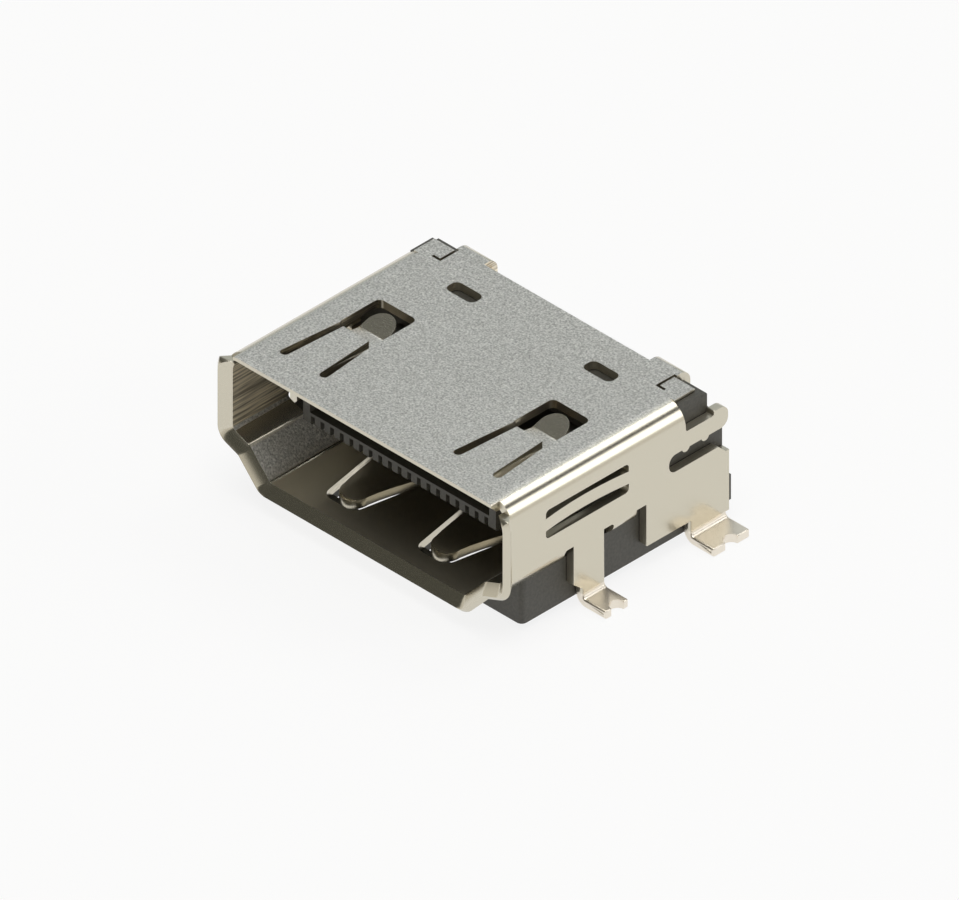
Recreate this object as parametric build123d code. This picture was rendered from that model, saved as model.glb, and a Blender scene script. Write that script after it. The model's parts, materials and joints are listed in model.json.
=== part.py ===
from build123d import *
import os
from math import cos, radians, sin, tan

# A surface mount receptacle for a 19 pole video plug, in millimetres.
# It is drawn with Z = 0 on the board, X = 0 in the middle and Y = 0 where the mouth begins to
# flare, and is then moved along Y so that its origin is the middle of its footprint.
# The mouth opens towards -Y.

# Sheet metal of the shell
sheet = 0.36                # thickness of the plated steel sheet
mouth_width = 14.00         # clear width between the side walls
mouth_height = 4.68         # clear height from floor to top
floor_above_board = 1.22    # inner face of the floor over the board
shelf_half_width = 6.10     # where the shelf ends and the slant begins
floor_half_width = 5.05     # where the slant ends and the flat floor begins
knee_height = 1.50          # inner knee of the side wall, over the floor
shelf_height = 1.15         # inner edge of the shelf, over the floor
top_bend = 0.60             # inside radius between the top and the side walls
profile_bend = 0.25         # inside radius of the knee, the shelf edge and the floor edge
least_bend = 0.05           # smallest radius left on the inside of a tight fold

# Flared lips of the mouth
flare_angle = 45.0          # how far the lips lean out, in degrees
flare_length = 0.56
flare_corner = 0.30         # rounding of a side lip's upper corner
lip_sheet = 0.30            # the sheet is drawn thinner towards the lips' edge
lip_drop = 0.10             # a side lip ends this far below the inner face of the top
lip_inner = 6.90            # where a side lip begins, from the middle
top_front_half_width = 6.70 # half width of the top in front of the flare line
top_overhang = 0.30         # how far the top runs on in front of the flare line
lead_in = 0.20              # chamfer inside the front edge of the top

# Depths along Y
tube_depth = 6.60           # the floor of the shell ends here
bend_depth = 9.15           # the fold between top and sides ends here
top_depth = 10.33           # rear edge of the top
shell_depth = 11.39         # rear edge of the side walls

# Top spring fingers
finger_offset = 4.50        # middle of a top finger from the middle of the part
finger_start = 1.05         # front end of the two slots beside it
finger_root_width = 1.67
finger_tip_width = 1.30
finger_slot = 0.38          # width of a slot at its front end
window_width = 1.98
window_start = 3.90
window_end = 6.10
window_corner = 0.25
finger_low = 4.68           # the finger slopes down into the mouth to here, then its tip turns up
finger_dip = 0.44           # how far it dips there
finger_tip_angle = 20.0     # how steeply the tip turns up, in degrees
finger_bend = 0.30          # inside radius of the bend at its lowest line
finger_end = 5.70

# Holes and rear edge of the top
rear_hole_offset = 3.55
rear_hole_width = 1.45
rear_hole_start = 8.22
rear_hole_end = 8.90
slit = 0.12                 # thin cut that frees each rear corner
slit_offset = 5.70          # its long run, from the middle
slit_length = 0.87
slit_hook = 0.45            # length of the short run at its front end
lug_setback = 0.12          # from the rear edge of the top to that of the freed corner
lug_half_width = 6.75       # outer edge of the freed corner
tab_offset = 5.00           # middle of the tab that hooks over the housing
tab_width = 1.42
tab_reach = 0.70            # how far a tab stands out behind the rear edge of the top
tab_drop = 1.15             # how far it hooks down, over all
tab_bend = 0.15             # inside radius of the hook

# Bowed beams in the side walls
beam_start = 1.89
beam_end = 6.19
beam_bottom = 4.30
beam_top = 4.85
beam_slot = 0.36            # height of the slot above and below a beam
beam_bow = 0.14             # how far a beam bows into the mouth

# Feet and the lower edge of the side walls
foot_reach = 1.22           # how far a foot stands out from the wall
foot_bend = 0.18            # inside radius of its fold
foot_notch = 0.33           # radius of the solder notch in its edge
foot_corner = 0.10          # rounding of its outer corners
front_leg_start = 3.33
front_foot_start = 3.75
front_foot_end = 4.97
front_notch = 4.39
rear_leg_start = 9.35
rear_foot_end = 11.26
rear_notch = 10.30
leg_gap = 0.46              # width of the relief beside a leg
relief_top = 2.90           # upper end of the reliefs over the board
relief_round = 0.16
shoulder_top = 1.17         # the front leg's slanted shoulder
shoulder_bottom = 0.82
skirt_bottom = 1.02         # lower edge of the rear part of the wall
skirt_start = 7.10

# Open slot and arm at the rear of the side walls
slot_start = 8.28
slot_bottom = 3.63
slot_top = 4.41
bump_radius = 0.20          # two bumps on the upper edge of the slot
bump_drop = 0.15            # how far they stand into it
bump_spacing = 1.00
shoulder_drop = 0.55        # slanted corner behind the slot's lower edge
arm_waist = 5.15            # upper edge of the arm
arm_waist_length = 1.45
arm_head = 5.33             # upper edge of its hooked end
arm_head_length = 0.74

# Floor spring fingers
floor_finger_offset = 2.38
floor_window_start = 0.85
floor_window_end = 4.70
floor_window_front = 1.60   # width of the window at its front
floor_window_rear = 3.00
floor_finger_start = 1.15
floor_finger_front = 1.25   # width of the finger at its free end
floor_finger_rear = 2.65
floor_finger_crest = 0.14   # height of the crest over the floor
floor_finger_peak = 2.60    # where the crest is
floor_finger_tip = -0.10    # height of the free end over the floor

# Housing
housing_gap = 0.03          # between the moulding and the sheet around it
standoff = 0.32             # underside of the housing over the board
block_front = 1.02
block_corner = 0.25
housing_step_out = 0.78     # how far the lower rear face stands behind the upper one
housing_step = 4.60         # height of the step between the two rear faces
corner_top = 6.00           # top of the small blocks behind the shell's freed corners
rib_top = 6.13              # top of the narrow rib beside each freed corner
corner_round = 0.10
heel_reach = 0.46           # small blocks at the foot of the rear face, beside the contacts
heel_inner = 5.30
heel_bottom = 0.58
heel_top = 1.70
pocket_width = 2.40         # room in the block for a floor finger to give way
pocket_start = 1.50
pocket_end = 5.00
tongue_front = 1.65
tongue_half_width = 5.00
tongue_bottom = 3.22
tongue_top = 5.12
tongue_edge = 0.12          # rounding of the tongue's front edges
comb_slot = 0.20            # width of a slot in the tongue's front edge
comb_depth = 0.45
comb_height = 0.42
nose_groove = 0.80          # height of the groove along the middle of the tongue's front
nose_groove_depth = 0.50
nose_end = 0.35             # what is left of the tongue at each end of that groove

# Contacts
poles = 19
pitch = 0.50
contact_width = 0.24
contact_thick = 0.16
contact_front = 2.30
contact_gap = 0.02          # between a contact and its groove
upper_row = 4.98            # middle of the upper contacts' thickness
lower_row = 3.36            # middle of the lower contacts' thickness
drop_from_rear = 0.14       # where the contacts turn down, behind the block
tail_length = 0.75          # flat solder tail behind the fold
contact_bend = 0.08

# Sizes that follow from the ones above
half_width = mouth_width / 2
outer_half = half_width + sheet
floor_inner = floor_above_board
top_inner = floor_inner + mouth_height
top_outer = top_inner + sheet
arm_head_start = bend_depth + arm_waist_length
arm_end = arm_head_start + arm_head_length
lug_rear = top_depth - lug_setback
tab_rear = top_depth + tab_reach
housing_top_rear = tab_rear - sheet - housing_gap
housing_rear = housing_top_rear + housing_step_out
heel_rear = housing_rear + heel_reach
flare = radians(flare_angle)
lip_out = flare_length * sin(flare)
lip_front = -flare_length * cos(flare)
tail_end = housing_rear + drop_from_rear + tail_length
footprint_middle = (lip_front + tail_end) / 2
far = 30.0                  # longer than the part, for cutting tools


def prism_x(face, start, end):
    """Push a face drawn in (Y, Z) from X = start to X = end."""
    plane = Plane(origin=(start, 0, 0), x_dir=(0, 1, 0), z_dir=(1, 0, 0))
    return extrude(plane * face, end - start, dir=(1, 0, 0))


def prism_y(face, start, end):
    """Push a face drawn in (X, Z) from Y = start to Y = end."""
    return extrude(front_plane(start) * face, end - start, dir=(0, 1, 0))


def prism_z(face, start, end):
    """Push a face drawn in (X, Y) from Z = start to Z = end."""
    return extrude(Pos(0, 0, start) * face, end - start, dir=(0, 0, 1))


def front_plane(depth):
    return Plane(origin=(0, depth, 0), x_dir=(1, 0, 0), z_dir=(0, -1, 0))


def outline(points, radii=None):
    """A face with straight sides, its corners rounded where a radius is given."""
    if radii is None:
        return make_face(Polyline(*points, close=True))
    return make_face(FilletPolyline(*points, radius=radii, close=True))


def block(x, y, z):
    """A box between pairs of limits."""
    size = Box(x[1] - x[0], y[1] - y[0], z[1] - z[0])
    return Pos(sum(x) / 2, sum(y) / 2, sum(z) / 2) * size


def rounded(x, y, radius):
    """A rectangle between pairs of limits with rounded corners."""
    corners = [(x[0], y[0]), (x[1], y[0]), (x[1], y[1]), (x[0], y[1])]
    return outline(corners, [radius] * 4)


def both_sides(part):
    return part + mirror(part, about=Plane.YZ)


def tube_section(grow):
    """The mouth's profile in (X, Z), moved outwards by grow, with rounded folds."""
    right = [
        (half_width, top_inner),
        (half_width, floor_inner + knee_height),
        (shelf_half_width, floor_inner + shelf_height),
        (floor_half_width, floor_inner),
    ]
    bends = [top_bend, profile_bend, profile_bend + sheet, profile_bend]
    opens = [1, 1, -1, 1]
    points = right + [(-x, z) for x, z in reversed(right)]
    bends = bends + bends[::-1]
    opens = opens + opens[::-1]
    moved = []
    count = len(points)
    for index in range(count):
        here = Vector(*points[index])
        before = (here - Vector(*points[index - 1])).normalized()
        after = (Vector(*points[(index + 1) % count]) - here).normalized()
        side_before = Vector(-before.Y, before.X)
        side_after = Vector(-after.Y, after.X)
        reach = grow / (1 + side_before.dot(side_after))
        moved.append(here + (side_before + side_after) * reach)
    radii = [max(bend + turn * grow, least_bend) for bend, turn in zip(bends, opens)]
    return outline(moved, radii)


def flared_tube():
    """The folded tube with its lips, before anything is cut."""
    back = sheet * tan(flare / 2)
    rim_out = lip_out + lip_sheet * cos(flare)
    rim_front = lip_front + lip_sheet * sin(flare)
    outer = prism_y(tube_section(sheet), back, shell_depth)
    rim = front_plane(rim_front) * tube_section(rim_out)
    outer += loft([front_plane(back) * tube_section(sheet), rim])
    outer += loft([rim, front_plane(lip_front) * tube_section(lip_out)])
    inner = prism_y(tube_section(0), 0, shell_depth)
    inner += loft([front_plane(0) * tube_section(0), front_plane(lip_front) * tube_section(lip_out)])
    return outer - inner


def straight_top():
    """Front part of the top, which doesn't flare but is chamfered inside."""
    half = top_front_half_width
    cap = block((-half, half), (-far, far), (top_inner - top_bend, far))
    section = tube_section(sheet) - tube_section(0)
    front = -top_overhang
    wedge = outline([
        (front - lead_in, top_inner + 2 * lead_in),
        (front - lead_in, top_inner - lead_in),
        (front + 2 * lead_in, top_inner - lead_in),
    ])
    return (prism_y(section, front, sheet) & cap) - prism_x(wedge, -far, far)


def lip_trim():
    """What is cut off the flare so that only the side and lower lips are left."""
    lip_top = top_inner - lip_drop
    back = sheet * tan(flare / 2)
    above = block((-far, far), (-far, back), (lip_top, far))
    above += block((-lip_inner, lip_inner), (-far, back), (floor_inner + knee_height, far))
    corner = block((-far, far), (lip_front, lip_front + flare_corner), (lip_top - flare_corner, lip_top))
    middle = Pos(0, lip_front + flare_corner, lip_top - flare_corner) * Rot(0, 90, 0)
    corner -= middle * Cylinder(flare_corner, 2 * far)
    return above + corner


def finger_plan(start, wide, end, narrow):
    """Plan of a tapered finger whose free end is a half round."""
    radius = narrow / 2
    left = Line((-wide / 2, start), (-radius, end - radius))
    tip = RadiusArc((-radius, end - radius), (radius, end - radius), radius)
    right = Line((radius, end - radius), (wide / 2, start))
    root = Line((wide / 2, start), (-wide / 2, start))
    return make_face(left + tip + right + root)


def top_window():
    """Slots and window around a top finger, in plan about the finger's middle."""
    side = finger_root_width / 2
    tip = finger_tip_width / 2
    slot_end = finger_slot * 0.75
    cut = rounded((-window_width / 2, window_width / 2), (window_start, window_end), window_corner)
    for hand in (-1, 1):
        slot = outline([
            (hand * side, finger_start + finger_slot / 2),
            (hand * tip, window_start + window_corner),
            (hand * (tip + slot_end), window_start + window_corner),
            (hand * (side + finger_slot), finger_start + finger_slot / 2),
        ])
        end = Pos(hand * (side + finger_slot / 2), finger_start + finger_slot / 2) * Circle(finger_slot / 2)
        cut = cut + slot + end
    return cut


def top_finger():
    """A spring finger cut from the top: it slopes down into the mouth, and its tip turns up."""
    end = finger_end + sheet
    drop = finger_dip - (end - finger_low) * tan(radians(finger_tip_angle))
    side = outline(
        [
            (finger_start - sheet, top_inner),
            (finger_start, top_inner),
            (finger_low, top_inner - finger_dip),
            (end, top_inner - drop),
            (end, top_outer - drop),
            (finger_low, top_outer - finger_dip),
            (finger_start, top_outer),
            (finger_start - sheet, top_outer),
        ],
        [least_bend, 2 * sheet, finger_bend + sheet, least_bend, least_bend, finger_bend, sheet, least_bend],
    )
    plan = finger_plan(finger_start, finger_root_width, finger_end, finger_tip_width)
    return prism_x(side, -far, far) & prism_z(plan, 0, far)


def floor_window():
    front = floor_window_front / 2
    rear = floor_window_rear / 2
    corners = [
        (-front, floor_window_start),
        (front, floor_window_start),
        (rear, floor_window_end),
        (-rear, floor_window_end),
    ]
    return outline(corners, [front * 0.6, front * 0.6, 0.3, 0.3])


def floor_finger():
    """A spring finger in the floor, rooted at the rear, with a crest and a lowered free end."""
    root = floor_window_end + sheet
    crest = floor_inner + floor_finger_crest
    middle = Spline(
        (root, floor_inner),
        (floor_finger_peak, crest),
        (floor_finger_start - sheet, floor_inner + floor_finger_tip),
        tangents=[(-1, 0), (-1, -0.5)],
    )
    lower = Pos(0, -sheet) * middle
    ends = Line(middle @ 0, lower @ 0) + Line(middle @ 1, lower @ 1)
    side = make_face(middle + lower + ends)
    plan = finger_plan(-root, floor_finger_rear, -floor_finger_start, floor_finger_front)
    return prism_x(side, -far, far) & mirror(prism_z(plan, 0, far), about=Plane.XZ)


def beam():
    """A strip of the side wall that bows into the mouth."""
    start, end = beam_start, beam_end
    middle = (start + end) / 2
    inner = ThreePointArc((half_width, start), (half_width - beam_bow, middle), (half_width, end))
    outer = ThreePointArc((outer_half, start), (outer_half - beam_bow, middle), (outer_half, end))
    closing = Line(inner @ 0, outer @ 0) + Line(inner @ 1, outer @ 1)
    return prism_z(make_face(inner + outer + closing), beam_bottom, beam_top)


def leg(outline_face, notch, reach_end):
    """A leg that folds out into a flat foot: the folded strip, kept inside its side outline."""
    toe = outer_half + foot_reach
    fold = outline(
        [
            (half_width, relief_top + sheet),
            (half_width, 0),
            (toe, 0),
            (toe, sheet),
            (outer_half, sheet),
            (outer_half, relief_top + sheet),
        ],
        [least_bend / 5, foot_bend + sheet, least_bend, least_bend, foot_bend, least_bend / 5],
    )
    strip = prism_y(fold, front_leg_start, reach_end)
    strip = strip & prism_x(outline_face, 0, far)
    corners = strip.edges().filter_by(Axis.Z).group_by(Axis.X)[-1]
    strip = fillet(corners, foot_corner)
    return strip - Pos(toe, notch, sheet / 2) * Cylinder(foot_notch, 2 * sheet)


def front_leg():
    side = outline([
        (front_leg_start, relief_top + sheet),
        (front_leg_start, shoulder_top),
        (front_foot_start, shoulder_bottom),
        (front_foot_start, -sheet),
        (front_foot_end, -sheet),
        (front_foot_end, relief_top + sheet),
    ])
    return leg(side, front_notch, front_foot_end)


def rear_leg():
    side = outline([
        (rear_leg_start, relief_top + sheet),
        (rear_leg_start, -sheet),
        (rear_foot_end, -sheet),
        (rear_foot_end, sheet + foot_bend),
        (shell_depth, sheet + foot_bend),
        (shell_depth, relief_top + sheet),
    ])
    return leg(side, rear_notch, shell_depth)


def rear_wall():
    """Rear part of a side wall: skirt, open slot and hooked arm."""
    lap = bend_depth - 4 * sheet
    points = [
        (skirt_start, relief_top + sheet),
        (skirt_start, skirt_bottom),
        (shell_depth, skirt_bottom),
        (shell_depth, slot_bottom - shoulder_drop),
        (shell_depth - shoulder_drop, slot_bottom),
        (slot_start, slot_bottom),
        (slot_start, slot_top),
        (arm_end, slot_top),
        (arm_end, arm_head),
        (arm_head_start, arm_head),
        (arm_head_start, arm_waist),
        (bend_depth, arm_waist),
        (bend_depth, top_outer - sheet - top_bend),
        (lap, top_outer - sheet - top_bend),
        (lap, relief_top + sheet),
    ]
    radii = [least_bend] * len(points)
    radii[3] = radii[4] = shoulder_drop * 0.4
    radii[5] = radii[6] = (slot_top - slot_bottom) * 0.45
    radii[7] = radii[8] = (arm_head - slot_top) * 0.42
    radii[9] = radii[10] = (arm_head - arm_waist) * 0.4
    radii[11] = (arm_head - arm_waist) * 0.6
    plate = outline(points, radii)
    for step in (0, bump_spacing):
        bump = Circle(bump_radius)
        plate = plate + Pos(bend_depth + step, slot_top + bump_radius - bump_drop) * bump
    return prism_x(plate, half_width, outer_half)


def relief(start, end):
    """A slot from below beside a leg, with a rounded upper end."""
    width = end - start
    face = outline(
        [(start, -sheet), (end, -sheet), (end, relief_top), (start, relief_top)],
        [least_bend, least_bend, min(relief_round, width / 3), min(relief_round, width / 3)],
    )
    return prism_x(face, shelf_half_width, outer_half + sheet)


def rear_edge_tab():
    """A tab that hooks down over the rear of the housing."""
    side = outline(
        [
            (top_depth - 2 * sheet, top_outer),
            (tab_rear, top_outer),
            (tab_rear, top_outer - tab_drop),
            (tab_rear - sheet, top_outer - tab_drop),
            (tab_rear - sheet, top_inner),
            (top_depth - 2 * sheet, top_inner),
        ],
        [least_bend, tab_bend + sheet, least_bend, least_bend, tab_bend, least_bend],
    )
    return prism_x(side, tab_offset - tab_width / 2, tab_offset + tab_width / 2)


def slit_cut():
    """Thin hooked cut that frees a rear corner of the top, open to the rear."""
    inner = slit_offset - slit
    front = lug_rear - slit_length
    height = (top_inner - sheet, far)
    long_run = block((inner, slit_offset), (front, lug_rear), height)
    cross_run = block((inner, far), (lug_rear, lug_rear + slit), height)
    hook = block((inner, inner + slit_hook), (front, front + slit), height)
    return long_run + cross_run + hook


def make_shell():
    shell = flared_tube() - lip_trim() + straight_top()
    # open the underside behind the floor, and the folds at the rear corners
    shell -= block((-far, far), (tube_depth, far), (-far, relief_top))
    for hand in (-1, 1):
        reach = sorted((hand * (half_width - top_bend), hand * far))
        shell -= block(reach, (bend_depth, far), (relief_top, far))
    shell -= block((-far, far), (top_depth, far), (top_inner - sheet, far))
    shell -= both_sides(block((slit_offset, far), (lug_rear, far), (top_inner - sheet, far)))
    lug = block((half_width - 2 * top_bend, lug_half_width), (bend_depth, lug_rear), (top_inner, top_outer))
    shell += both_sides(lug)
    slot = block((half_width - sheet, far), (slot_start, bend_depth), (slot_bottom, slot_top))
    shell -= both_sides(slot)
    # reliefs and legs
    shell -= both_sides(relief(front_leg_start - leg_gap, front_foot_end + leg_gap))
    shell += both_sides(front_leg() + rear_leg() + rear_wall())
    # bowed beams in the side walls
    beam_room = rounded(
        (beam_start, beam_end), (beam_bottom - beam_slot, beam_top + beam_slot), beam_slot / 2
    )
    shell -= both_sides(prism_x(beam_room, half_width - sheet / 2, far))
    shell += both_sides(beam())
    # top: windows with fingers, rear holes, slits and hooks
    for middle in (-finger_offset, finger_offset):
        shell -= Pos(middle, 0, 0) * prism_z(top_window(), top_inner - sheet, far)
        shell += Pos(middle, 0, 0) * top_finger()
    hole_half = rear_hole_width / 2
    hole_round = (rear_hole_end - rear_hole_start) * 0.4
    hole = rounded((-hole_half, hole_half), (rear_hole_start, rear_hole_end), hole_round)
    shell -= both_sides(Pos(rear_hole_offset, 0, 0) * prism_z(hole, top_inner - sheet, far))
    shell += both_sides(rear_edge_tab())
    shell -= both_sides(slit_cut())
    # floor: windows with fingers
    for middle in (-floor_finger_offset, floor_finger_offset):
        shell -= Pos(middle, 0, 0) * prism_z(floor_window(), 0, floor_inner + sheet)
        shell += Pos(middle, 0, 0) * floor_finger()
    return shell


def contact_path(level):
    """Side outline of a contact in (Y, Z): along the tongue, down behind the block, tail to the rear."""
    half = contact_thick / 2
    drop = housing_rear + drop_from_rear
    outer_bend = contact_bend + contact_thick
    points = [
        (contact_front, level - half),
        (drop - half, level - half),
        (drop - half, 0),
        (tail_end, 0),
        (tail_end, contact_thick),
        (drop + half, contact_thick),
        (drop + half, level + half),
        (contact_front, level + half),
    ]
    radii = [least_bend, contact_bend, outer_bend, least_bend] * 2
    return outline(points, radii)


def contact(place, level):
    """One contact at its place along X."""
    return prism_x(contact_path(level), place - contact_width / 2, place + contact_width / 2)


def groove(place, level, outward):
    """Room for a contact: open along the tongue's face, closed in the block."""
    half = contact_thick / 2 + contact_gap
    x = (place - contact_width / 2 - contact_gap, place + contact_width / 2 + contact_gap)
    passage = block(x, (contact_front - contact_gap, far), (level - half, level + half))
    reach = sorted((level, level + outward * (tongue_top - tongue_bottom)))
    open_face = block(x, (contact_front - contact_gap, tube_depth), reach)
    return passage + open_face


def contact_places():
    """Place, level and outward side of every pole: odd ones above, even ones below."""
    for index in range(poles):
        place = (index - (poles - 1) / 2) * pitch
        if index % 2 == 0:
            yield index, place, upper_row, 1
        else:
            yield index, place, lower_row, -1


def make_housing():
    side = half_width - housing_gap
    rear_low = block((-side, side), (tube_depth + housing_gap, housing_rear), (standoff, housing_step))
    rear_high = block(
        (-side, side), (tube_depth + housing_gap, housing_top_rear), (standoff, top_inner - housing_gap)
    )
    top_edges = rear_high.edges().group_by(Axis.Z)[-1]
    rear_high = fillet(top_edges.filter_by(Axis.Y), top_bend)
    rear_edge = rear_high.edges().group_by(Axis.Z)[-1].filter_by(Axis.X).group_by(Axis.Y)[-1]
    rear_high = chamfer(rear_edge, tab_bend)
    tongue = block(
        (-tongue_half_width, tongue_half_width),
        (tongue_front, tube_depth + sheet),
        (tongue_bottom, tongue_top),
    )
    tongue = fillet(tongue.edges().filter_by(Axis.X).group_by(Axis.Y)[0], tongue_edge)
    groove_half = tongue_half_width - nose_end
    tongue_middle = (tongue_bottom + tongue_top) / 2
    tongue -= block(
        (-groove_half, groove_half),
        (0, tongue_front + nose_groove_depth),
        (tongue_middle - nose_groove / 2, tongue_middle + nose_groove / 2),
    )
    under = block((-side, side), (block_front, tube_depth + sheet), (standoff, relief_top - housing_gap))
    front_corners = under.edges().filter_by(Axis.Z).group_by(Axis.Y)[0]
    under = fillet(front_corners, block_corner)
    under -= prism_y(tube_section(sheet + housing_gap), -sheet, tube_depth + housing_gap)
    pocket_x = (floor_finger_offset - pocket_width / 2, floor_finger_offset + pocket_width / 2)
    under -= both_sides(block(pocket_x, (pocket_start, pocket_end), (0, relief_top)))
    # small blocks behind the shell's freed corners, and at the foot of the rear face
    corner_x = (tab_offset + tab_width / 2 + housing_gap, side)
    corner = block(corner_x, (lug_rear + slit, housing_top_rear), (housing_step, corner_top))
    corner = fillet(corner.edges().group_by(Axis.Z)[-1], corner_round)
    heel = block((heel_inner, side), (housing_rear - sheet, heel_rear), (heel_bottom, heel_top))
    # square corners beside the shell's freed corners, with a narrow rib on top
    fill_front = bend_depth + housing_gap
    fill_x = (half_width - top_bend, side)
    fill = block(fill_x, (fill_front, housing_top_rear), (housing_step, top_inner - housing_gap))
    rib_x = (lug_half_width + housing_gap, side)
    fill += block(rib_x, (fill_front, lug_rear + slit), (housing_step, rib_top))
    housing = rear_low + rear_high + tongue + under + both_sides(corner + heel + fill)
    for index, place, level, outward in contact_places():
        housing -= groove(place, level, outward)
        slot = block(
            (place - comb_slot / 2, place + comb_slot / 2),
            (tongue_front - comb_depth, tongue_front + comb_depth),
            (tongue_bottom - comb_height, tongue_bottom + comb_height),
        )
        housing -= slot
    return housing


def save(shape, name):
    export_step(Pos(0, -footprint_middle, 0) * shape, "parts/" + name + ".step")


os.makedirs("parts", exist_ok=True)
save(make_shell(), "shell")
save(make_housing(), "housing")
for number, along, height, _ in contact_places():
    save(contact(along, height), "contact_" + str(number + 1).zfill(2))
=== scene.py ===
import json
import math

import bpy
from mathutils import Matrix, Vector

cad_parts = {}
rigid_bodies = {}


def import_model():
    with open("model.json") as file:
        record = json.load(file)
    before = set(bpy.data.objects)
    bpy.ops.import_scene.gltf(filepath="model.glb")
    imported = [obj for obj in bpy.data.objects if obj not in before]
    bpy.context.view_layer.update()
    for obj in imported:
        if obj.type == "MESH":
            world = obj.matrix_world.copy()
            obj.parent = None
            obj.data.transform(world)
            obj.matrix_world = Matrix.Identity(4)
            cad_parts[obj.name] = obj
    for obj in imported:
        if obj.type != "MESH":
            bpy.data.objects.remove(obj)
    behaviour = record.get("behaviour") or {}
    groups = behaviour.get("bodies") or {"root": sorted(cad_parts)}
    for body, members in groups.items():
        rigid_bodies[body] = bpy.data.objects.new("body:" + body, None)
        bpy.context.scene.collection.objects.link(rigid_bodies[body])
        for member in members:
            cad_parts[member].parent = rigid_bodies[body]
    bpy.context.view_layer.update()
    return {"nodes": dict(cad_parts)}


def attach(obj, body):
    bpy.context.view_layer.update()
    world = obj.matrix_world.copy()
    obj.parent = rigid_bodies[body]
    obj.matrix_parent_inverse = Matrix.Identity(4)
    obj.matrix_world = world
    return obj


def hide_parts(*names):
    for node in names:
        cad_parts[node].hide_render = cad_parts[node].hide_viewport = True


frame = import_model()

MM = 0.001

# Camera: the photograph is an isometric view, 959 by 900 pixels. Its distance and clips in metres
IMAGE_WIDTH = 959
PIXELS_PER_MM = 27.258
CAMERA_AZIMUTH = 45.0
CAMERA_ELEVATION = 35.264
CAMERA_DISTANCE = 0.2
CLIP_START = 0.001
CLIP_END = 2.0
# The depth at which the lips bend off the tube, and the point in the middle of the picture
FLARE_LINE = -5.957 * MM
PICTURE_CENTRE = Vector((2.90 * MM, 2.90 * MM + FLARE_LINE, 5.23 * MM))

# Edges of stamped sheet and of a moulding are never sharp
SHEET = 0.36 * MM
SHEET_EDGE = 0.035 * MM
MOULDING_EDGE = 0.03 * MM
CONTACT_EDGE = 0.015 * MM
# Only edges that turn by more than this are rounded
EDGE_ANGLE = math.radians(40)
EDGE_SEGMENTS = 2
# Less than the step between the facets of a rounded edge, so that flat faces stay flat up to it
SMOOTH_ANGLE = math.radians(28)
# The merged copies: points this close are one, and faces this level with each other are one
MERGE_DISTANCE = 0.0005 * MM
LEVEL_ANGLE = math.radians(0.5)

# Heights that tell the shell's faces apart: its top is above the first and the mouth's floor below
# it, and the feet end where the legs start
MID_HEIGHT = 3.0 * MM
FOOT_TOP = 0.5 * MM
LEG_START = 0.6 * MM

# Grain of the rolled top, about two pixels of the photograph wide, as its speckle is there
TOP_GRAIN = 0.08 * MM
TOP_GRAIN_DEPTH = 0.03 * MM
# Drawn lines on the walls inside the mouth, their depth as a share of the grain's
LINE_SPACING = 0.08 * MM
LINE_LENGTH = 2.0 * MM
LINE_SHARE = 0.5
# Spark eroded texture of the moulding. At its real few hundredths of a millimetre it would be too
# fine to show, so it is drawn coarser
MOULDING_GRAIN = 0.12 * MM
MOULDING_GRAIN_DEPTH = 0.004 * MM
# Slow change of tone over the gold, a contact's width or so
GOLD_STREAK = 0.3 * MM

# The table, metres wide and a hair under the feet, and how far it is lifted towards white
FLOOR_SIZE = 4.0
FLOOR_LEVEL = -0.01 * MM
FLOOR_WHITE = 0.85

# Soft boxes high behind the part and lower behind it to the right, and a large lamp overhead:
# distance and side in metres, power in watts
BOX_DISTANCE = 0.6
BOX_SIDE = 0.24
BOX_POWER = 0.44
OVERHEAD_DISTANCE = 0.7
OVERHEAD_SIDE = 0.5
OVERHEAD_POWER = 3.0


def deselect_all():
    for thing in bpy.context.scene.objects:
        thing.select_set(False)


def hex_rgb(text):
    """A colour written as sRGB hex, turned to linear red, green, blue, alpha."""
    values = []
    for start in (0, 2, 4):
        part = int(text[start:start + 2], 16) / 255
        values.append(part / 12.92 if part <= 0.04045 else ((part + 0.055) / 1.055) ** 2.4)
    return (*values, 1.0)


def add_node(tree, kind, settings=None, inputs=None, links=None, stops=None):
    """Adds a node, sets its properties, sockets and ramp stops, and links other nodes' outputs to it.
    The sockets of maths and mix nodes share their names, so they go by number. In a mix node 0 is the
    factor, and 2 and 3 are the two values, or 6 and 7 the two colours."""
    node = tree.nodes.new(kind)
    for name, value in (settings or {}).items():
        setattr(node, name, value)
    for name, value in (inputs or {}).items():
        node.inputs[name].default_value = value
    for name, source in (links or {}).items():
        tree.links.new(source, node.inputs[name])
    if stops:
        elements = node.color_ramp.elements
        elements[0].position, elements[0].color = stops[0]
        elements[1].position, elements[1].color = stops[-1]
        for position, colour in stops[1:-1]:
            elements.new(position).color = colour
    return node


def new_material(name):
    """A material with an empty node tree but for the surface shader and the output."""
    material = bpy.data.materials.new(name)
    material.use_nodes = True
    tree = material.node_tree
    tree.nodes.clear()
    output = add_node(tree, "ShaderNodeOutputMaterial")
    shader = add_node(tree, "ShaderNodeBsdfPrincipled")
    tree.links.new(shader.outputs["BSDF"], output.inputs["Surface"])
    return material, tree, shader


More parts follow.
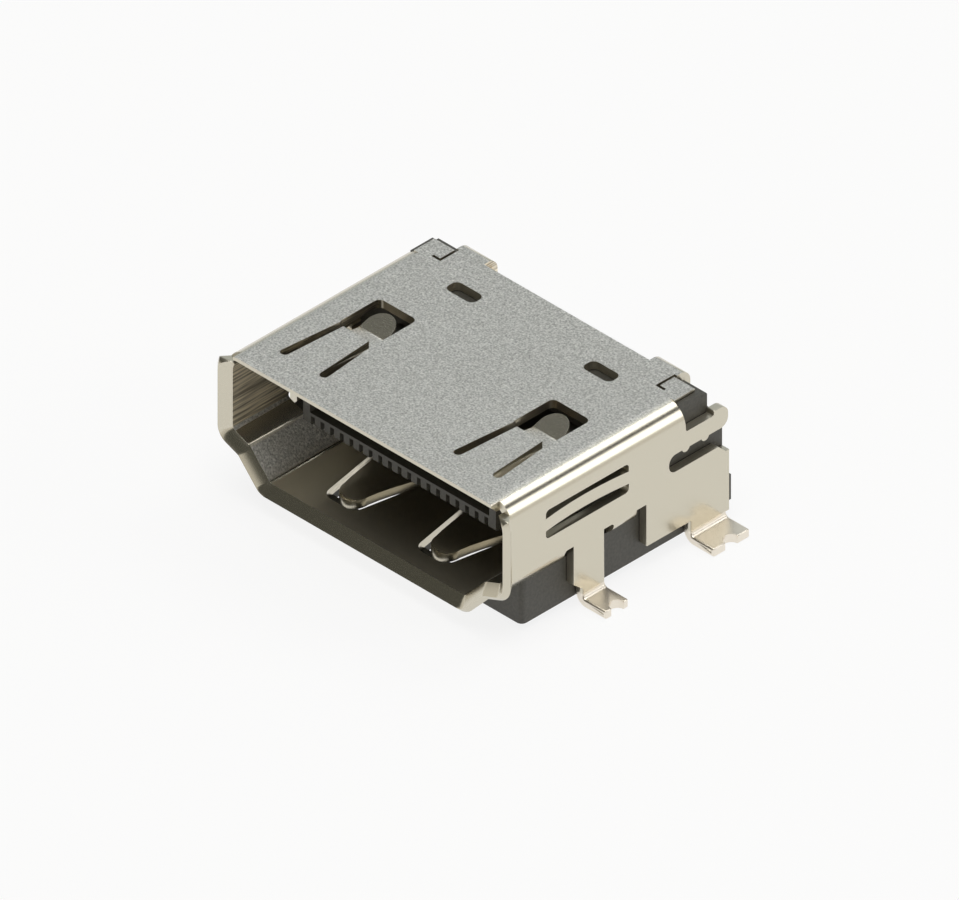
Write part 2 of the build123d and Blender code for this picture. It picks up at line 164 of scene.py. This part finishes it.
def satin_nickel():
    """Nickel plate on rolled steel sheet: a warm mirror with sharp streaks. Its upper face keeps the
    dull grain of the sheet, which breaks the mirror into grey speckle. Sheared edges are a little
    rougher and have no grain. The walls inside the mouth show fine lines along the depth, whose
    strong light and dark tone is partly painted reflection, the streaks the walls would mirror. The
    floor of the mouth and the feet are dull, and the feet are painted a lighter cream: painted light
    for the light they catch from the table."""
    material, tree, shader = new_material("satin_nickel_plate")
    place = add_node(tree, "ShaderNodeTexCoord").outputs["Object"]
    facing = add_node(
        tree, "ShaderNodeSeparateXYZ",
        links={"Vector": add_node(tree, "ShaderNodeNewGeometry").outputs["Normal"]},
    )
    spot = add_node(tree, "ShaderNodeSeparateXYZ", links={"Vector": place})
    # level faces, fading out by about 20 degrees of tilt
    flat = add_node(
        tree, "ShaderNodeMapRange",
        inputs={"From Min": 0.93, "From Max": 0.99},
        links={"Value": facing.outputs["Z"]},
    )
    upper = add_node(
        tree, "ShaderNodeMath", settings={"operation": "GREATER_THAN"},
        inputs={1: MID_HEIGHT}, links={0: spot.outputs["Z"]},
    )
    # the grain shows on the flat of the top
    top = add_node(
        tree, "ShaderNodeMath", settings={"operation": "MULTIPLY"},
        links={0: flat.outputs["Result"], 1: upper.outputs["Value"]},
    )
    # a wall's inner face looks back across the mouth, so that the X of its normal and the X of its
    # place have opposite signs, and it lies behind the flare
    across = add_node(
        tree, "ShaderNodeMath", settings={"operation": "MULTIPLY"},
        links={0: facing.outputs["X"], 1: spot.outputs["X"]},
    )
    inward = add_node(
        tree, "ShaderNodeMapRange",
        inputs={"From Min": -4.0 * MM, "From Max": -3.0 * MM, "To Min": 1.0, "To Max": 0.0},
        links={"Value": across.outputs["Value"]},
    )
    behind_flare = add_node(
        tree, "ShaderNodeMath", settings={"operation": "GREATER_THAN"},
        inputs={1: FLARE_LINE}, links={0: spot.outputs["Y"]},
    )
    inner_wall = add_node(
        tree, "ShaderNodeMath", settings={"operation": "MULTIPLY"},
        links={0: inward.outputs["Result"], 1: behind_flare.outputs["Value"]},
    )
    # the grain also shows on the slanted panels low in the mouth, whose inner faces look upward
    upward = add_node(
        tree, "ShaderNodeMapRange",
        inputs={"From Min": 0.35, "From Max": 0.45},
        links={"Value": facing.outputs["Z"]},
    )
    slanted = add_node(
        tree, "ShaderNodeMath", settings={"operation": "MULTIPLY"},
        links={0: inner_wall.outputs["Value"], 1: upward.outputs["Result"]},
    )
    either = add_node(
        tree, "ShaderNodeMath", settings={"operation": "MAXIMUM"},
        links={0: top.outputs["Value"], 1: slanted.outputs["Value"]},
    )
    # and nowhere on faces cut through the sheet
    sheared = add_node(tree, "ShaderNodeAttribute", settings={"attribute_name": "sheared"})
    rolled = add_node(
        tree, "ShaderNodeMath", settings={"operation": "SUBTRACT"},
        inputs={0: 1.0}, links={1: sheared.outputs["Fac"]},
    )
    grained = add_node(
        tree, "ShaderNodeMath", settings={"operation": "MULTIPLY"},
        links={0: either.outputs["Value"], 1: rolled.outputs["Value"]},
    )
    foot = add_node(
        tree, "ShaderNodeMapRange",
        inputs={"From Min": FOOT_TOP, "From Max": LEG_START, "To Min": 1.0, "To Max": 0.0},
        links={"Value": spot.outputs["Z"]},
    )
    grain = add_node(
        tree, "ShaderNodeTexNoise",
        inputs={"Scale": 1 / TOP_GRAIN, "Detail": 3.0, "Roughness": 0.65},
        links={"Vector": place},
    )
    tone = add_node(
        tree, "ShaderNodeValToRGB", links={"Fac": grain.outputs["Fac"]},
        stops=[(0.3, hex_rgb("9C9A94")), (0.7, hex_rgb("F0EEE8"))],
    )
    # walls and bends are even, and the feet are painted lighter: painted light for the light the table
    # throws up on them
    plain = add_node(
        tree, "ShaderNodeMix", settings={"data_type": "RGBA"},
        inputs={6: hex_rgb("CFC9B8"), 7: hex_rgb("ECE4D6")}, links={0: foot.outputs["Result"]},
    )
    drawn = add_node(
        tree, "ShaderNodeMapping",
        inputs={"Scale": (1 / LINE_SPACING, 1 / LINE_LENGTH, 1 / LINE_SPACING)},
        links={"Vector": place},
    )
    lines = add_node(
        tree, "ShaderNodeTexNoise", inputs={"Scale": 1.0, "Detail": 2.0},
        links={"Vector": drawn.outputs["Vector"]},
    )
    # painted reflection: the lines' strong light and dark tone is partly the drawn lines themselves
    # and partly painted streaks of what such walls mirror
    line_and_painted_streak_tone = add_node(
        tree, "ShaderNodeValToRGB", links={"Fac": lines.outputs["Fac"]},
        stops=[(0.36, hex_rgb("A89F8E")), (0.64, hex_rgb("F6ECD6"))],
    )
    wall = add_node(
        tree, "ShaderNodeMix", settings={"data_type": "RGBA"},
        links={0: inner_wall.outputs["Value"], 6: plain.outputs[2], 7: line_and_painted_streak_tone.outputs["Color"]},
    )
    colour = add_node(
        tree, "ShaderNodeMix", settings={"data_type": "RGBA"},
        links={0: grained.outputs["Value"], 6: wall.outputs[2], 7: tone.outputs["Color"]},
    )
    tree.links.new(colour.outputs[2], shader.inputs["Base Color"])
    # the floor of the mouth is as dull as the feet
    low_flat = add_node(
        tree, "ShaderNodeMath", settings={"operation": "SUBTRACT"},
        links={0: flat.outputs["Result"], 1: upper.outputs["Value"]},
    )
    dull = add_node(
        tree, "ShaderNodeMath", settings={"operation": "MAXIMUM"},
        links={0: foot.outputs["Result"], 1: low_flat.outputs["Value"]},
    )
    worn = add_node(
        tree, "ShaderNodeMath", settings={"operation": "MAXIMUM"},
        links={0: dull.outputs["Value"], 1: grained.outputs["Value"]},
    )
    rough = add_node(
        tree, "ShaderNodeMapRange", inputs={"To Min": 0.20, "To Max": 0.38},
        links={"Value": worn.outputs["Value"]},
    )
    lined = add_node(
        tree, "ShaderNodeMix", inputs={3: 0.75},
        links={0: inner_wall.outputs["Value"], 2: rough.outputs["Result"]},
    )
    torn = add_node(
        tree, "ShaderNodeMix", inputs={3: 0.28},
        links={0: sheared.outputs["Fac"], 2: lined.outputs[0]},
    )
    tree.links.new(torn.outputs[0], shader.inputs["Roughness"])
    depth = add_node(
        tree, "ShaderNodeMath", settings={"operation": "MULTIPLY"},
        links={0: grain.outputs["Fac"], 1: grained.outputs["Value"]},
    )
    line_depth = add_node(
        tree, "ShaderNodeMath", settings={"operation": "MULTIPLY"},
        links={0: lines.outputs["Fac"], 1: inner_wall.outputs["Value"]},
    )
    relief = add_node(
        tree, "ShaderNodeMath", settings={"operation": "MULTIPLY_ADD"}, inputs={1: LINE_SHARE},
        links={0: line_depth.outputs["Value"], 2: depth.outputs["Value"]},
    )
    bump = add_node(
        tree, "ShaderNodeBump", inputs={"Strength": 1.0, "Distance": TOP_GRAIN_DEPTH},
        links={"Height": relief.outputs["Value"]},
    )
    tree.links.new(bump.outputs["Normal"], shader.inputs["Normal"])
    shader.inputs["Metallic"].default_value = 0.97
    return material


def black_moulding():
    """Glass filled moulding compound: black, matt, with a fine spark eroded texture."""
    material, tree, shader = new_material("black_glass_filled_moulding")
    place = add_node(tree, "ShaderNodeTexCoord").outputs["Object"]
    grain = add_node(
        tree, "ShaderNodeTexNoise",
        inputs={"Scale": 1 / MOULDING_GRAIN, "Detail": 2.0},
        links={"Vector": place},
    )
    tone = add_node(
        tree, "ShaderNodeValToRGB", links={"Fac": grain.outputs["Fac"]},
        stops=[(0.3, hex_rgb("3D3B35")), (0.7, hex_rgb("4C4A42"))],
    )
    tree.links.new(tone.outputs["Color"], shader.inputs["Base Color"])
    bump = add_node(
        tree, "ShaderNodeBump", inputs={"Strength": 0.4, "Distance": MOULDING_GRAIN_DEPTH},
        links={"Height": grain.outputs["Fac"]},
    )
    tree.links.new(bump.outputs["Normal"], shader.inputs["Normal"])
    shader.inputs["Roughness"].default_value = 0.5
    shader.inputs["IOR"].default_value = 1.55
    return material


def gold_flash():
    """Thin gold over nickel on the contacts: smooth and yellow."""
    material, tree, shader = new_material("gold_flash_plate")
    place = add_node(tree, "ShaderNodeTexCoord").outputs["Object"]
    streak = add_node(
        tree, "ShaderNodeTexNoise",
        inputs={"Scale": 1 / GOLD_STREAK, "Detail": 2.0},
        links={"Vector": place},
    )
    tone = add_node(
        tree, "ShaderNodeValToRGB", links={"Fac": streak.outputs["Fac"]},
        stops=[(0.3, hex_rgb("D9B870")), (0.7, hex_rgb("E6CB8C"))],
    )
    tree.links.new(tone.outputs["Color"], shader.inputs["Base Color"])
    shader.inputs["Metallic"].default_value = 1.0
    shader.inputs["Roughness"].default_value = 0.25
    return material


def mark_sheared_faces(piece, sheet):
    """Marks the faces cut through the sheet: behind those the metal goes deeper than its thickness."""
    marks = piece.data.attributes.new("sheared", "FLOAT", "FACE")
    inset = 0.002 * MM
    deepest = 1.3 * sheet
    for face in piece.data.polygons:
        start = face.center - face.normal * inset
        hit, point = piece.ray_cast(start, -face.normal)[:2]
        deep = hit and (point - start).length > deepest
        marks.data[face.index].value = 1.0 if deep else 0.0


def soft_edged_copy(name, width, material):
    """A merged copy of a CAD node with small rounded edges, which stands in its place."""
    node = frame["nodes"][name]
    mesh = node.data.copy()
    mesh.materials.clear()
    piece = bpy.data.objects.new(name + "_finished", mesh)
    bpy.context.scene.collection.objects.link(piece)
    deselect_all()
    piece.select_set(True)
    bpy.context.view_layer.objects.active = piece
    bpy.ops.object.mode_set(mode="EDIT")
    bpy.ops.mesh.select_all(action="SELECT")
    bpy.ops.mesh.remove_doubles(threshold=MERGE_DISTANCE)
    bpy.ops.mesh.dissolve_limited(angle_limit=LEVEL_ANGLE)
    bpy.ops.object.mode_set(mode="OBJECT")
    bevel = piece.modifiers.new("edges", "BEVEL")
    bevel.width = width
    bevel.segments = EDGE_SEGMENTS
    bevel.limit_method = "ANGLE"
    bevel.angle_limit = EDGE_ANGLE
    bpy.ops.object.modifier_apply(modifier=bevel.name)
    bpy.ops.object.shade_smooth_by_angle(angle=SMOOTH_ANGLE)
    even = piece.modifiers.new("normals", "WEIGHTED_NORMAL")
    even.keep_sharp = True
    bpy.ops.object.modifier_apply(modifier=even.name)
    piece.data.materials.append(material)
    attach(piece, "root")
    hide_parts(name)
    return piece


def dress_parts():
    """Gives the shell, the housing and each contact its soft edges and its finish."""
    nickel = satin_nickel()
    moulding = black_moulding()
    gold = gold_flash()
    shell = soft_edged_copy("shell", SHEET_EDGE, nickel)
    mark_sheared_faces(shell, SHEET)
    soft_edged_copy("housing", MOULDING_EDGE, moulding)
    for name in sorted(frame["nodes"]):
        if name.startswith("contact_"):
            soft_edged_copy(name, CONTACT_EDGE, gold)


def add_camera():
    """The camera of the photograph, which shows no perspective."""
    data = bpy.data.cameras.new("camera")
    data.type = "ORTHO"
    data.ortho_scale = IMAGE_WIDTH / PIXELS_PER_MM * MM
    data.clip_start = CLIP_START
    data.clip_end = CLIP_END
    camera = bpy.data.objects.new("camera", data)
    bpy.context.scene.collection.objects.link(camera)
    tilt = math.radians(90 - CAMERA_ELEVATION)
    turn = math.radians(CAMERA_AZIMUTH)
    camera.rotation_euler = (tilt, 0, turn)
    back = Vector((math.sin(turn) * math.sin(tilt), -math.cos(turn) * math.sin(tilt), math.cos(tilt)))
    camera.location = PICTURE_CENTRE + back * CAMERA_DISTANCE
    bpy.context.scene.camera = camera


def add_floor():
    """A white table just under the feet. Seen straight it is lifted towards white but keeps the
    shadow, and the bright metal sees it as the white ground that the photograph has."""
    deselect_all()
    bpy.ops.mesh.primitive_plane_add(size=FLOOR_SIZE, location=(0, 0, FLOOR_LEVEL))
    floor = bpy.context.object
    floor.name = "floor"
    material = bpy.data.materials.new("white_table")
    material.use_nodes = True
    tree = material.node_tree
    tree.nodes.clear()
    cloth = add_node(tree, "ShaderNodeBsdfDiffuse", inputs={"Color": hex_rgb("F2F1EF")})
    white = add_node(tree, "ShaderNodeEmission", inputs={"Color": hex_rgb("FFFFFF"), "Strength": 1.0})
    rays = add_node(tree, "ShaderNodeLightPath")
    seen = add_node(
        tree, "ShaderNodeMath", settings={"operation": "ADD"},
        links={0: rays.outputs["Is Camera Ray"], 1: rays.outputs["Is Glossy Ray"]},
    )
    share = add_node(
        tree, "ShaderNodeMath", settings={"operation": "MULTIPLY"},
        inputs={1: FLOOR_WHITE}, links={0: seen.outputs["Value"]},
    )
    surface = add_node(
        tree, "ShaderNodeMixShader",
        links={0: share.outputs["Value"], 1: cloth.outputs["BSDF"], 2: white.outputs["Emission"]},
    )
    output = add_node(tree, "ShaderNodeOutputMaterial")
    tree.links.new(surface.outputs["Shader"], output.inputs["Surface"])
    floor.data.materials.append(material)


def add_world():
    """A plain studio as the bright metal shows it: grey behind to the left, and dark behind to the
    right and in front, with a light band low down on both of those sides."""
    world = bpy.data.worlds.new("studio")
    world.use_nodes = True
    tree = world.node_tree
    tree.nodes.clear()
    place = add_node(tree, "ShaderNodeTexCoord").outputs["Generated"]
    way = add_node(tree, "ShaderNodeSeparateXYZ", links={"Vector": place})
    grey = hex_rgb("C8CDCE")
    dark = hex_rgb("3F3F3F")
    gloom = hex_rgb("4B4B45")
    low_front = hex_rgb("E1DED7")
    glow = hex_rgb("E7E5DF")
    right = add_node(
        tree, "ShaderNodeValToRGB", links={"Fac": way.outputs["Z"]},
        stops=[(0.0, glow), (0.24, glow), (0.30, dark), (1.0, dark)],
    )
    front = add_node(
        tree, "ShaderNodeValToRGB", links={"Fac": way.outputs["Z"]},
        stops=[(0.0, low_front), (0.24, low_front), (0.36, gloom), (1.0, gloom)],
    )
    across = add_node(
        tree, "ShaderNodeMapRange", settings={"interpolation_type": "SMOOTHSTEP"},
        inputs={"From Min": -0.20, "From Max": 0.02},
        links={"Value": way.outputs["X"]},
    )
    behind = add_node(
        tree, "ShaderNodeMix", settings={"data_type": "RGBA"}, inputs={6: grey},
        links={0: across.outputs["Result"], 7: right.outputs["Color"]},
    )
    along = add_node(
        tree, "ShaderNodeMapRange", settings={"interpolation_type": "SMOOTHSTEP"},
        inputs={"From Min": 0.05, "From Max": 0.40},
        links={"Value": way.outputs["Y"]},
    )
    sky = add_node(
        tree, "ShaderNodeMix", settings={"data_type": "RGBA"},
        links={0: along.outputs["Result"], 6: front.outputs["Color"], 7: behind.outputs[2]},
    )
    # past the table's edge the picture stays white
    rays = add_node(tree, "ShaderNodeLightPath")
    shown = add_node(
        tree, "ShaderNodeMix", settings={"data_type": "RGBA"}, inputs={7: hex_rgb("FFFFFF")},
        links={0: rays.outputs["Is Camera Ray"], 6: sky.outputs[2]},
    )
    background = add_node(
        tree, "ShaderNodeBackground", inputs={"Strength": 1.0}, links={"Color": shown.outputs[2]},
    )
    output = add_node(tree, "ShaderNodeOutputWorld")
    tree.links.new(background.outputs["Background"], output.inputs["Surface"])
    bpy.context.scene.world = world


def add_lamp(name, direction, distance, side, power):
    """A square lamp in that direction from the part, pointing at it."""
    data = bpy.data.lights.new(name, "AREA")
    data.shape = "SQUARE"
    data.size = side
    data.energy = power
    lamp = bpy.data.objects.new(name, data)
    bpy.context.scene.collection.objects.link(lamp)
    way = Vector(direction).normalized()
    lamp.location = way * distance
    lamp.rotation_euler = way.to_track_quat("Z", "Y").to_euler()


add_camera()
add_floor()
add_world()
add_lamp("high_box", (0.112, 0.577, 0.809), BOX_DISTANCE, BOX_SIDE, BOX_POWER)
add_lamp("side_box", (0.66, 0.577, 0.45), BOX_DISTANCE, BOX_SIDE, BOX_POWER)
add_lamp("overhead", (0.1, -0.1, 1.0), OVERHEAD_DISTANCE, OVERHEAD_SIDE, OVERHEAD_POWER)
dress_parts()

bpy.context.scene.view_settings.view_transform = "Standard"
